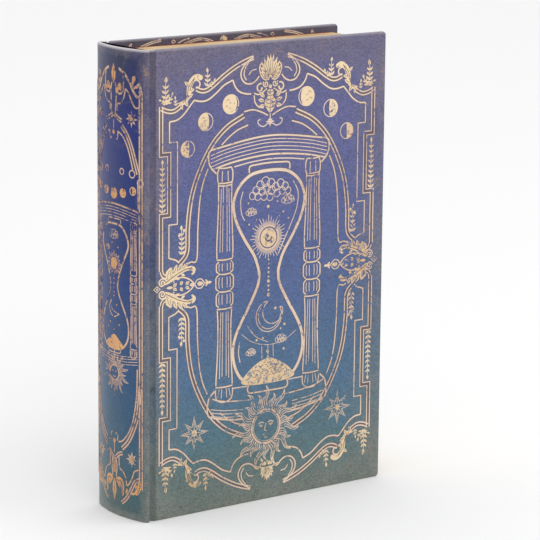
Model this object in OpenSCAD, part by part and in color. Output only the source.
// A hollow book with a locking inner door.
// It stands on its tail edge. +Z is up, the front cover faces -Y, the spine is at -X
// and the fore-edge at +X. The origin is the middle of the base.

/* [Case] */
// Height of the covers, head to tail
book_h = 270; // [250:5:300]
// Width of a cover, from the spine's corner to the fore-edge
cover_w = 170; // [165:1:180]
// Thickness over both covers
book_t = 49; // [47:1:56]
// How far the spine bows out past its corners
spine_bow = 4.5; // [3:0.5:6]
// Thickness of a cover board with its cloth on both faces
cover_t = 3.2; // [3:0.1:3.6]
// Thickness of the covering cloth
cloth_t = 0.4; // [0.3:0.05:0.5]
// Thickness of the papers
paper_t = 0.3; // [0.2:0.05:0.4]
// Thickness of the spine board with its cloth
spine_t = 2.4; // [2:0.1:2.6]
// Distance from the spine's corner to the edge of a cover board
joint_w = 6.5; // [6:0.25:8]
// Depth of the groove at each joint
groove_depth = 1.6; // [1:0.1:1.8]
// Width of the cloth turned in over the inside of a cover
turn_in = 14; // [10:1:18]
// How far the covers stand out past the block
cover_square = 4.75; // [4.5:0.25:7]
// How far the endpaper stops short of the cover's edges
endpaper_margin = 4.5; // [3:0.5:6]

/* [Block] */
// Thickness of the outer walls
wall_t = 6; // [5.5:0.25:7]
// Thickness of the inner boards that the door closes against
stop_t = 4; // [3.5:0.25:5]
// Thickness of the back panel
back_panel_t = 3; // [2.5:0.25:4]
// Air between the closed front cover and the block
cover_gap = 0.5; // [0.4:0.1:0.8]

/* [Door] */
// Thickness of the door with its linings
door_t = 4; // [3.6:0.1:4.4]
// How far the door's face lies below the block's face
door_recess = 2.6; // [2.5:0.1:3]
// Air round the door's edges
door_gap = 0.5; // [0.4:0.1:0.8]
// Radius of the door's two pivot pins
pin_r = 1; // [0.8:0.1:1.2]

/* [Lock] */
// Distance from the door's free edge to the lock's axis
lock_inset = 22.6; // [22:0.2:24]
// Radius of the lock's barrel
barrel_r = 7.5; // [7.2:0.1:8]
// Radius of the lock's flange
flange_r = 9; // [8.5:0.1:9.5]
// Length of the barrel behind the door
barrel_len = 15.5; // [14:0.5:17]
// Radius of the turning plug
plug_r = 5; // [4.5:0.1:5.2]
// Reach of the cam from the lock's axis
cam_reach = 26.5; // [25:0.5:27]
// Thickness of the cam
cam_t = 2; // [1.6:0.1:2.2]

/* [Keys] */
// Length of a key's blade
blade_len = 25; // [22:1:27]
// Width of a key's bow
bow_w = 18; // [16:1:20]
// Length of a key's bow
bow_len = 23; // [21:1:25]
// Thickness of a key's bow
bow_t = 3.2; // [2.8:0.1:3.6]
// Middle radius of the split ring
ring_r = 8.5; // [8:0.5:10]

/* [Hidden] */
$fn = 96;
eps = 0.01;

// The case's planes
right_x = (cover_w + spine_bow) / 2;
left_x = -right_x;
corner_x = left_x + spine_bow;
front_y = -book_t / 2;
back_y = book_t / 2;
board_x = corner_x + joint_w;
spine_r = (pow(book_t / 2, 2) + pow(spine_bow, 2)) / (2 * spine_bow);
shoulder_drop = 0.3;

spine_edge_x = left_x + spine_r - sqrt(pow(spine_r - spine_t, 2) - pow(book_t / 2, 2));

// The block's planes
spine_air = 0.7;
block_x0 = spine_edge_x + spine_air;
block_x1 = right_x - cover_square;
block_z0 = cover_square;
block_z1 = book_h - cover_square;
block_y0 = front_y + cover_t + paper_t + cover_gap;
block_y1 = back_y - cover_t - paper_t;
wall_x1 = block_x1 - paper_t;
wall_z0 = block_z0 + paper_t;
wall_z1 = block_z1 - paper_t;
wall_y0 = block_y0 + paper_t;
wall_y1 = block_y1 - back_panel_t;

// The recess that the door sits in
recess_x0 = block_x0 + wall_t;
recess_x1 = wall_x1 - wall_t;
recess_z0 = wall_z0 + wall_t;
recess_z1 = wall_z1 - wall_t;

// The compartment inside the stops
room_x0 = recess_x0 + stop_t;
room_x1 = recess_x1 - stop_t;
room_z0 = recess_z0 + stop_t;
room_z1 = recess_z1 - stop_t;

// The door
door_y0 = block_y0 + door_recess;
door_y1 = door_y0 + door_t;
door_rest = 0.2;
stop_y0 = door_y1 + door_rest + paper_t;
door_x1 = recess_x1 - paper_t - door_gap;
door_z0 = recess_z0 + paper_t + door_gap;
door_z1 = recess_z1 - paper_t - door_gap;
pivot_x = recess_x0 + paper_t + door_gap + door_t / 2;
pivot_y = (door_y0 + door_y1) / 2;
pin_clearance = 0.05;
pin_in_wall = 5;
pin_in_door = 6;

// The lock
lock_x = door_x1 - lock_inset;
lock_z = book_h / 2;
flange_t = 2;
barrel_end = door_y1 + barrel_len;
barrel_hole_gap = 0.1;
washer_t = 1;
clip_t = 0.8;
clip_bow = 1.6;
clip_groove_r = barrel_r - 0.9;
plug_clearance = 0.05;
plug_shoulder = 0.3;
cam_y0 = barrel_end + plug_shoulder;
cam_tip_y = door_y1 + 3.6;
tail_side = 5.5;
screw_r = 1.5;
screw_head_r = 3.6;
keyway_w = 2.2;
keyway_h = 8;
wafer_count = 5;
wafer_t = 0.8;
wafer_w = 5.6;
wafer_pitch = 2.4;

// The slot that the cam turns into
slot_side = 0.7;
slot_y0 = cam_tip_y - slot_side;
slot_y1 = cam_tip_y + cam_t + slot_side;
slot_x1 = lock_x + cam_reach + slot_side;
slot_z0 = lock_z - 5.5;
slot_z1 = lock_z + 19.5;

// The keys, laid end to end on the compartment's floor with the ring between them
keys_x = -8;
keys_y = 2;
floor_z = room_z0 + paper_t;
ring_wire = 1;
ring_width = 1.8;
ring_gap = 0.1;
key_bar = 2.5;
bow_slot_len = 5.8;
bow_slot_w = 10;
blade_t = 2;
key_lift = 0.55;
key_z = floor_z + ring_gap + ring_wire + key_lift;
key_tilt = 1.5;

// A box between two corners
module slab(low, high) {
    translate(low) cube([high[0] - low[0], high[1] - low[1], high[2] - low[2]]);
}

// Moves its children to the lock's axis and turns them to run along +Y from y
module on_lock(y) {
    translate([lock_x, y, lock_z]) rotate([-90, 0, 0]) children();
}

// A rectangle with round corners, made of plain squares and circles
module round_rect(length, width, r) {
    translate([r, -width / 2]) square([length - 2 * r, width]);
    translate([0, -width / 2 + r]) square([length, width - 2 * r]);
    for (x = [r, length - r], y = [r - width / 2, width / 2 - r])
        translate([x, y]) circle(r, $fn = 48);
}

// The spine's curved shell in plan, between two depths below its outer face
module spine_section(depth0, depth1, edge) {
    intersection() {
        translate([left_x + spine_r, 0]) difference() {
            circle(spine_r - depth0, $fn = 240);
            circle(spine_r - depth1, $fn = 240);
        }
        translate([left_x - 1, front_y + edge])
            square([spine_bow + spine_t + 2, book_t - 2 * edge]);
    }
}

// A board wrapped in cloth: the cloth covers the outer face and the edges, and turns in.
// side is -1 for the front cover and 1 for the back.
module cover_cloth(side) {
    outer = side * book_t / 2;
    inner = outer - side * cover_t;
    board_out = outer - side * cloth_t;
    difference() {
        slab([board_x, min(outer, inner), 0], [right_x, max(outer, inner), book_h]);
        slab([board_x + cloth_t, min(board_out, inner + side * cloth_t), cloth_t],
             [right_x - cloth_t, max(board_out, inner + side * cloth_t), book_h - cloth_t]);
        slab([board_x + turn_in, min(inner - side, board_out), turn_in],
             [right_x - turn_in, max(inner - side, board_out), book_h - turn_in]);
    }
}

// The stiff board inside that cloth
module cover_board(side) {
    y0 = side * (book_t / 2 - cloth_t);
    y1 = side * (book_t / 2 - cover_t + cloth_t);
    slab([board_x + cloth_t, min(y0, y1), cloth_t],
         [right_x - cloth_t, max(y0, y1), book_h - cloth_t]);
}

// The endpaper, which lies over the turn-ins and dips to the board between them
module endpaper(side) {
    y0 = side * (book_t / 2 - cover_t);
    y1 = y0 - side * paper_t;
    y2 = y0 + side * cloth_t;
    slab([board_x + endpaper_margin, min(y0, y1), endpaper_margin],
         [right_x - endpaper_margin, max(y0, y1), book_h - endpaper_margin]);
    slab([board_x + turn_in, min(y1, y2), turn_in],
         [right_x - turn_in, max(y1, y2), book_h - turn_in]);
}

// The cloth that dips between the spine's edge and a cover board
module hinge_cloth(side) {
    x0 = spine_edge_x;
    half = (board_x - x0) / 2;
    r = (pow(half, 2) + pow(groove_depth, 2)) / (2 * groove_depth);
    lip = book_t / 2 - shoulder_drop;
    linear_extrude(height = book_h) intersection() {
        translate([x0 + half, side * (lip - groove_depth + r)]) difference() {
            circle(r + cloth_t);
            circle(r);
        }
        translate([x0, side > 0 ? lip - 2 * groove_depth : -lip])
            square([2 * half, 2 * groove_depth]);
    }
}

module front_board() { color([0.62, 0.58, 0.52]) cover_board(-1); }
module front_cloth() { color([0.27, 0.35, 0.58]) cover_cloth(-1); }
module front_endpaper() { color([0.62, 0.27, 0.13]) endpaper(-1); }
module front_hinge_cloth() { color([0.2, 0.27, 0.48]) hinge_cloth(-1); }
module back_board() { color([0.62, 0.58, 0.52]) cover_board(1); }
module back_cloth() { color([0.27, 0.35, 0.58]) cover_cloth(1); }
module back_endpaper() { color([0.62, 0.27, 0.13]) endpaper(1); }
module back_hinge_cloth() { color([0.2, 0.27, 0.48]) hinge_cloth(1); }

module spine_board() {
    color([0.62, 0.58, 0.52]) translate([0, 0, cloth_t])
        linear_extrude(height = book_h - 2 * cloth_t) spine_section(cloth_t, spine_t, cloth_t);
}

module spine_cloth() {
    color([0.22, 0.32, 0.6]) difference() {
        linear_extrude(height = book_h) spine_section(0, spine_t, 0);
        translate([0, 0, cloth_t]) linear_extrude(height = book_h - 2 * cloth_t)
            spine_section(cloth_t, spine_t + 1, cloth_t);
    }
}

// The block's outer walls: head and tail run between the side walls' ends
module head_wall() {
    color([0.72, 0.6, 0.45]) difference() {
        slab([block_x0, wall_y0, recess_z1], [wall_x1, wall_y1, wall_z1]);
        translate([pivot_x, pivot_y, recess_z1 - eps]) cylinder(r = pin_r, h = pin_in_wall + eps);
    }
}

module tail_wall() {
    color([0.72, 0.6, 0.45]) difference() {
        slab([block_x0, wall_y0, wall_z0], [wall_x1, wall_y1, recess_z0]);
        translate([pivot_x, pivot_y, recess_z0 - pin_in_wall])
            cylinder(r = pin_r, h = pin_in_wall + eps);
    }
}

module fore_edge_wall() {
    color([0.72, 0.6, 0.45]) difference() {
        slab([recess_x1, wall_y0, recess_z0], [wall_x1, wall_y1, recess_z1]);
        slab([recess_x1 - 1, slot_y0, slot_z0], [slot_x1, slot_y1, slot_z1]);
    }
}

module spine_wall() {
    color([0.72, 0.6, 0.45])
        slab([block_x0, wall_y0, recess_z0], [recess_x0, wall_y1, recess_z1]);
}

module back_panel() {
    color([0.72, 0.6, 0.45]) slab([block_x0, wall_y1, wall_z0], [wall_x1, block_y1, wall_z1]);
}

// The inner boards, whose front edges stop the door
module head_stop() {
    color([0.76, 0.65, 0.5])
        slab([recess_x0, stop_y0, room_z1], [recess_x1, wall_y1, recess_z1]);
}

module tail_stop() {
    color([0.76, 0.65, 0.5])
        slab([recess_x0, stop_y0, recess_z0], [recess_x1, wall_y1, room_z0]);
}

module fore_edge_stop() {
    color([0.76, 0.65, 0.5]) difference() {
        slab([room_x1, stop_y0, room_z0], [recess_x1, wall_y1, room_z1]);
        slab([room_x1 - 1, slot_y0, slot_z0], [slot_x1, slot_y1, slot_z1]);
        strike_shape();
    }
}

module spine_stop() {
    color([0.76, 0.65, 0.5])
        slab([recess_x0, stop_y0, room_z0], [room_x0, wall_y1, room_z1]);
}

// Papers printed like page edges, on the block's three outer sides
module head_edge_paper() {
    color([0.84, 0.76, 0.62]) slab([block_x0, block_y0, wall_z1], [wall_x1, block_y1, block_z1]);
}

module tail_edge_paper() {
    color([0.84, 0.76, 0.62]) slab([block_x0, block_y0, block_z0], [wall_x1, block_y1, wall_z0]);
}

module fore_edge_paper() {
    color([0.84, 0.76, 0.62]) slab([wall_x1, block_y0, block_z0], [block_x1, block_y1, block_z1]);
}

// One paper over the block's front rim, down the recess's sides and over the stops' edges
module frame_paper() {
    color([0.82, 0.72, 0.56]) difference() {
        union() {
            slab([block_x0, block_y0, wall_z0], [wall_x1, wall_y0, wall_z1]);
            slab([recess_x0, block_y0, recess_z0], [recess_x1, stop_y0, recess_z1]);
        }
        slab([recess_x0 + paper_t, block_y0 - 1, recess_z0 + paper_t],
             [recess_x1 - paper_t, stop_y0 - paper_t, recess_z1 - paper_t]);
        slab([room_x0, block_y0, room_z0], [room_x1, stop_y0 + 1, room_z1]);
        strike_shape();
        for (z = [recess_z0 - 1, recess_z1 - paper_t - 1])
            translate([pivot_x, pivot_y, z]) cylinder(r = pin_r, h = paper_t + 2);
    }
}

// Lining paper on the compartment's four sides, with a slit for the cam
module wall_lining() {
    color([0.55, 0.22, 0.1]) difference() {
        slab([room_x0, stop_y0, room_z0], [room_x1, wall_y1 - paper_t, room_z1]);
        slab([room_x0 + paper_t, stop_y0 - 1, room_z0 + paper_t],
             [room_x1 - paper_t, wall_y1, room_z1 - paper_t]);
        slab([room_x1 - 1, slot_y0, slot_z0], [room_x1 + 1, slot_y1, slot_z1]);
        strike_shape();
    }
}

module back_lining() {
    color([0.55, 0.22, 0.1])
        slab([room_x0, wall_y1 - paper_t, room_z0], [room_x1, wall_y1, room_z1]);
}

// A small angle of sheet steel let into the corner of the stop in front of the cam's slot
module strike_shape() {
    plate_t = 0.6;
    low = lock_z - 2.5;
    high = lock_z + 2.5;
    face_y = stop_y0 - paper_t;
    edge_x = room_x1 - paper_t;
    slab([edge_x, face_y, low], [edge_x + 3, face_y + plate_t, high]);
    slab([edge_x, face_y, low], [edge_x + plate_t, slot_y0, high]);
}

module strike_plate() { color([0.8, 0.8, 0.78]) strike_shape(); }

// Steel pins in the head and tail walls, which the door turns on
module door_pins() {
    color([0.7, 0.7, 0.72]) {
        translate([pivot_x, pivot_y, recess_z0 - pin_in_wall])
            cylinder(r = pin_r, h = door_z0 - recess_z0 + pin_in_wall + pin_in_door);
        translate([pivot_x, pivot_y, door_z1 - pin_in_door])
            cylinder(r = pin_r, h = recess_z1 - door_z1 + pin_in_wall + pin_in_door);
    }
}

// The door's board, with a half-round edge on the pivot's axis
module door_panel() {
    color([0.27, 0.19, 0.18]) difference() {
        union() {
            slab([pivot_x, door_y0 + paper_t, door_z0], [door_x1, door_y1 - paper_t, door_z1]);
            translate([pivot_x, pivot_y, door_z0])
                cylinder(r = door_t / 2 - paper_t, h = door_z1 - door_z0);
        }
        translate([pivot_x, pivot_y, door_z0 - 1])
            cylinder(r = pin_r + pin_clearance, h = pin_in_door + 1.5);
        translate([pivot_x, pivot_y, door_z1 - pin_in_door - 0.5])
            cylinder(r = pin_r + pin_clearance, h = pin_in_door + 1.5);
        on_lock(door_y0 - 1) cylinder(r = barrel_r + barrel_hole_gap, h = door_t + 2);
    }
}

module door_lining(y) {
    difference() {
        slab([pivot_x, y, door_z0], [door_x1, y + paper_t, door_z1]);
        on_lock(y - 1) cylinder(r = barrel_r + barrel_hole_gap, h = paper_t + 2);
    }
}

module door_face_lining() { color([0.27, 0.18, 0.17]) door_lining(door_y0); }
module door_back_lining() { color([0.3, 0.19, 0.18]) door_lining(door_y1 - paper_t); }

// The lock's barrel: flange, body with a groove for the clip, two dimples and the plug's bore
module lock_barrel() {
    groove_y = door_y1 + washer_t;
    groove_w = clip_t + clip_bow + 0.3;
    color([0.83, 0.83, 0.85]) difference() {
        union() {
            on_lock(door_y0 - flange_t) cylinder(r = flange_r, h = flange_t);
            on_lock(door_y0) cylinder(r = barrel_r, h = barrel_end - door_y0);
        }
        on_lock(groove_y) difference() {
            cylinder(r = barrel_r + 1, h = groove_w);
            translate([0, 0, -1]) cylinder(r = clip_groove_r, h = groove_w + 2);
        }
        on_lock(door_y0 - flange_t - 1)
            cylinder(r = plug_r + plug_clearance, h = barrel_end - door_y0 + flange_t + 2);
        for (y = [barrel_end - 8.6, barrel_end - 3.8])
            translate([lock_x + barrel_r - 1, y, lock_z + 1.2]) rotate([0, 90, 0])
                cylinder(r = 1, h = 2, $fn = 32);
    }
}

module lock_washer() {
    color([0.06, 0.06, 0.07]) on_lock(door_y1) difference() {
        cylinder(r = barrel_r + 2.6, h = washer_t);
        translate([0, 0, -1]) cylinder(r = barrel_r + barrel_hole_gap, h = washer_t + 2);
    }
}

// A bowed U of spring steel pushed into the barrel's groove from below
module lock_clip() {
    clip_h = 19;
    clip_w = 19;
    clip_low = -11;
    bow_r = (pow(clip_h / 2, 2) + pow(clip_bow, 2)) / (2 * clip_bow);
    mid_z = lock_z + clip_low + clip_h / 2;
    mid_y = door_y1 + washer_t + 0.1 + clip_bow + clip_t;
    color([0.8, 0.8, 0.82]) difference() {
        intersection() {
            translate([lock_x - clip_w / 2, mid_y - bow_r, mid_z]) rotate([0, 90, 0])
                difference() {
                    cylinder(r = bow_r, h = clip_w, $fn = 240);
                    translate([0, 0, -1]) cylinder(r = bow_r - clip_t, h = clip_w + 2, $fn = 240);
                }
            slab([lock_x - clip_w / 2, door_y1 + washer_t, lock_z + clip_low],
                 [lock_x + clip_w / 2, mid_y + 1, lock_z + clip_low + clip_h]);
        }
        on_lock(door_y1) cylinder(r = clip_groove_r + 0.1, h = 8);
        translate([lock_x - clip_groove_r - 0.1, door_y1, lock_z])
            cube([2 * clip_groove_r + 0.2, 8, clip_h]);
    }
}

// The plug, with its keyway, its wafer slots and a square tail for the cam
module lock_plug() {
    plug_y0 = door_y0 - flange_t;
    plug_len = cam_y0 - plug_y0;
    color([0.74, 0.72, 0.66]) difference() {
        union() {
            on_lock(plug_y0) cylinder(r = plug_r, h = plug_len);
            translate([lock_x - tail_side / 2, cam_y0 - eps, lock_z - tail_side / 2])
                cube([tail_side, cam_t + eps, tail_side]);
        }
        translate([lock_x - keyway_w / 2, plug_y0 - 1, lock_z - keyway_h / 2])
            cube([keyway_w, plug_len - 2, keyway_h]);
        for (n = [0 : wafer_count - 1])
            translate([lock_x - wafer_w / 2 - 0.1, plug_y0 + 3 + n * wafer_pitch,
                       lock_z - plug_r - 1])
                cube([wafer_w + 0.2, wafer_t + 0.1, 2 * plug_r + 2]);
        on_lock(cam_y0 - 4) cylinder(r = screw_r, h = cam_t + 5);
    }
}

// The flat wafers that the key lines up, each with a window for the blade
module lock_wafers() {
    plug_y0 = door_y0 - flange_t;
    wafer_h = keyway_h - 0.2;
    color([0.78, 0.62, 0.3]) for (n = [0 : wafer_count - 1])
        translate([lock_x, plug_y0 + 3.05 + n * wafer_pitch, lock_z]) difference() {
            translate([-wafer_w / 2, 0, -wafer_h / 2])
                cube([wafer_w, wafer_t, wafer_h]);
            translate([-keyway_w / 2, -1, -wafer_h / 2 + 1 + 0.2 * (n % 3)])
                cube([keyway_w, wafer_t + 2, wafer_h - 2.4]);
        }
}

// The cam, cranked back towards the door so that its tip turns into the slot
module lock_cam() {
    cam_w = 11;
    tip_w = 9;
    out = cam_y0 + cam_t;
    tip = cam_tip_y;
    tip_r = tip_w / 2;
    side = [[-cam_w / 2, cam_y0], [-cam_w / 2, out], [12, out], [14.8, out - 2.4],
            [16.6, tip + cam_t + 2.6], [18.6, tip + cam_t], [cam_reach, tip + cam_t],
            [cam_reach, tip], [17.6, tip], [14.7, tip + 4.1], [12.8, cam_y0 - 1],
            [11.4, cam_y0]];
    color([0.8, 0.78, 0.74]) translate([lock_x, 0, lock_z]) difference() {
        intersection() {
            translate([-cam_w / 2, 0, 0]) rotate([90, 0, 90]) linear_extrude(height = cam_w)
                polygon([for (p = side) [p[1], p[0]]]);
            rotate([-90, 0, 0]) translate([0, 0, tip - 1])
                linear_extrude(height = out - tip + 2) mirror([0, 1]) {
                    circle(cam_w / 2);
                    translate([-cam_w / 2, 0]) square([cam_w, 12]);
                    translate([-tip_w / 2, 0]) square([tip_w, cam_reach - tip_r]);
                    translate([0, cam_reach - tip_r]) circle(tip_r, $fn = 48);
                }
        }
        translate([-tail_side / 2, cam_y0 - 1, -tail_side / 2])
            cube([tail_side, cam_t + 2, tail_side]);
    }
}

module cam_screw() {
    color([0.7, 0.7, 0.7]) difference() {
        union() {
            on_lock(cam_y0 + cam_t) cylinder(r = screw_head_r, h = 1.8, $fn = 64);
            on_lock(cam_y0 - 3) cylinder(r = screw_r, h = cam_t + 3 + eps);
        }
        for (turn = [0, 90])
            translate([lock_x, cam_y0 + cam_t + 1.3, lock_z]) rotate([0, turn, 0])
                cube([4.2, 1.4, 0.9], center = true);
    }
}

// A double-turn wire ring standing on edge between the two keys
module key_ring() {
    wire_r = ring_wire / 2;
    color([0.78, 0.78, 0.76])
        translate([keys_x, keys_y, floor_z + ring_gap + wire_r + ring_r]) rotate([90, 0, 0])
            rotate_extrude() translate([ring_r, 0]) {
                square([ring_wire, ring_width - ring_wire], center = true);
                for (z = [-1, 1])
                    translate([0, z * (ring_width - ring_wire) / 2]) circle(wire_r, $fn = 32);
            }
}

// Places a key with its bow's end at the ring and its blade pointing away; side is -1 or 1
module laid_key(side) {
    translate([keys_x + side * 0.25, keys_y, key_z]) rotate([0, side * key_tilt, 0])
        mirror([side > 0 ? 0 : 1, 0, 0]) children();
}

// The moulded bow, with a slot for the ring and a socket that holds the blade
module key_bow() {
    difference() {
        linear_extrude(height = bow_t) difference() {
            round_rect(bow_len, bow_w, 3);
            translate([key_bar, -bow_slot_w / 2]) square([bow_slot_len, bow_slot_w]);
        }
        blade_body();
    }
}

// The blade, cut in steps that narrow to its tip, with a tongue inside the bow
module blade_body() {
    tongue = 9;
    z0 = (bow_t - blade_t) / 2;
    steps = [[bow_len - tongue, -3.5], [bow_len, -3.5], [bow_len, -4], [bow_len + 8, -4],
             [bow_len + 9, -3], [bow_len + 14, -3], [bow_len + 15, -2.2], [bow_len + 20, -2.2],
             [bow_len + 21, -1.4], [bow_len + blade_len - 1.5, -1.4], [bow_len + blade_len, 0],
             [bow_len + blade_len - 2, 2.2], [bow_len + 12, 3.2], [bow_len + 6, 4],
             [bow_len, 4], [bow_len, 3.5], [bow_len - tongue, 3.5]];
    translate([0, 0, z0]) linear_extrude(height = blade_t) polygon(steps);
}

module key_blade() {
    difference() {
        blade_body();
        translate([bow_len + 1, -0.6, (bow_t + blade_t) / 2 - 0.5])
            cube([blade_len, 1.2, 1]);
    }
}

module key_blade_1() { color([0.8, 0.78, 0.74]) laid_key(-1) key_blade(); }
module key_bow_1() { color([0.07, 0.07, 0.08]) laid_key(-1) key_bow(); }
module key_blade_2() { color([0.8, 0.78, 0.74]) laid_key(1) key_blade(); }
module key_bow_2() { color([0.07, 0.07, 0.08]) laid_key(1) key_bow(); }

front_board();
front_cloth();
front_endpaper();
front_hinge_cloth();
spine_board();
spine_cloth();
back_hinge_cloth();
back_board();
back_cloth();
back_endpaper();
head_wall();
tail_wall();
fore_edge_wall();
spine_wall();
back_panel();
head_stop();
tail_stop();
fore_edge_stop();
spine_stop();
head_edge_paper();
tail_edge_paper();
fore_edge_paper();
frame_paper();
wall_lining();
back_lining();
strike_plate();
door_pins();
door_panel();
door_face_lining();
door_back_lining();
lock_barrel();
lock_washer();
lock_clip();
lock_plug();
lock_wafers();
lock_cam();
cam_screw();
key_ring();
key_blade_1();
key_bow_1();
key_blade_2();
key_bow_2();
